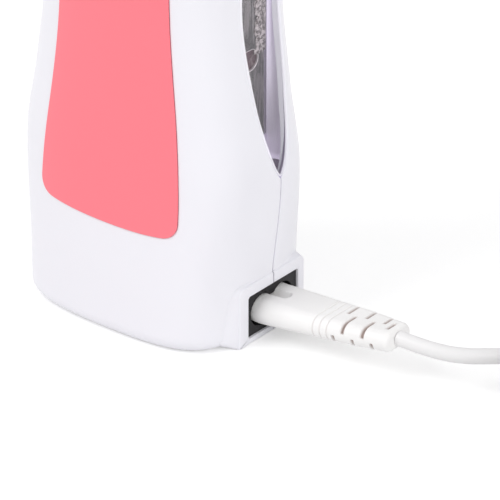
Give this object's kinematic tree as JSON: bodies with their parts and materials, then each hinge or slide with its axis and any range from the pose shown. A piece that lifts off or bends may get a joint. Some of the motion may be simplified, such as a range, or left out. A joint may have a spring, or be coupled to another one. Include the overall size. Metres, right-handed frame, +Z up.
{
  "type": "roll-on wax heater",
  "caption": "Hand-held heater for roll-on wax cartridges: waisted two-part body with a front panel, side windows, clear cap, push button and a plug-in mains lead.",
  "frame": {"origin": "on the floor, in the plane where the two half shells meet, under the middle of the base pad", "axes": "+Z up through the cap, -Y to the coloured front panel, +X to the mains inlet"},
  "size_m": [0.2072, 0.0885, 0.194],
  "materials": {
    "shell_white": "glossy moulded ABS",
    "panel_pink": "glossy moulded plastic",
    "window_clear": "clear, polished",
    "plate_aluminium": "satin",
    "mica_card": "matt, slightly grainy",
    "guard_steel": "satin galvanised",
    "liner_white": "matt",
    "foil_aluminium": "soft, slightly creased",
    "collar_white": "glossy",
    "cap_clear": "clear, polished",
    "pad_rubber": "matt",
    "socket_black": "satin",
    "pin_brass": "polished",
    "button_white": "glossy",
    "switch_black": "matt",
    "board_green": "solder mask",
    "screw_steel": "zinc plated",
    "lamp_red": "moulded",
    "lens_clear": "polished",
    "fuse_sleeve": "woven glass sleeve",
    "wire_sleeve": "satin insulation",
    "lead_white": "satin soft PVC",
    "cord_white": "satin soft PVC",
    "tie_black": "paper over wire",
    "pin_steel": "nickel plated"
  },
  "bodies": {
    "heater": {"front_shell": "shell_white", "rear_shell": "shell_white", "front_panel": "panel_pink", "window_right": "window_clear", "window_left": "window_clear", "heater_plate": "plate_aluminium", "heater_card": "mica_card", "heat_guard": "guard_steel", "rear_liner": "liner_white", "foil_tapes": "foil_aluminium", "well_floor": "plate_aluminium", "top_collar": "collar_white", "base_pad": "pad_rubber", "inlet_socket": "socket_black", "inlet_pins": "pin_brass", "tact_switch": "switch_black", "control_board": "board_green", "board_screws": "screw_steel", "indicator_led": "lamp_red", "indicator_lens": "lens_clear", "case_screws": "screw_steel", "thermostat": "guard_steel", "thermal_fuse": "fuse_sleeve", "inlet_wires": "wire_sleeve", "heater_wires": "wire_sleeve"},
    "cap": {"clear_cap": "cap_clear"},
    "button": {"power_button": "button_white", "switch_plunger": "switch_black"},
    "lead": {"lead_connector": "lead_white", "lead_contacts": "pin_brass", "lead_cord": "cord_white", "lead_coil": "cord_white", "coil_tie": "tie_black", "lead_tail": "cord_white", "mains_plug": "lead_white", "plug_pins": "pin_steel"}
  },
  "joints": [
    {"name": "cap_lift", "type": "slide", "parent": "heater", "child": "cap", "axis": [0, 0, 1], "range_m": [0, 0.048]},
    {"name": "button_press", "type": "slide", "parent": "heater", "child": "button", "axis": [0, 1, 0], "range_m": [0, 0.0003], "stiffness_N_per_m": 3000, "springref_m": -0.0002},
    {"name": "lead_pull", "type": "slide", "parent": "heater", "child": "lead", "axis": [1, 0, 0], "range_m": [0, 0.014]}
  ]
}
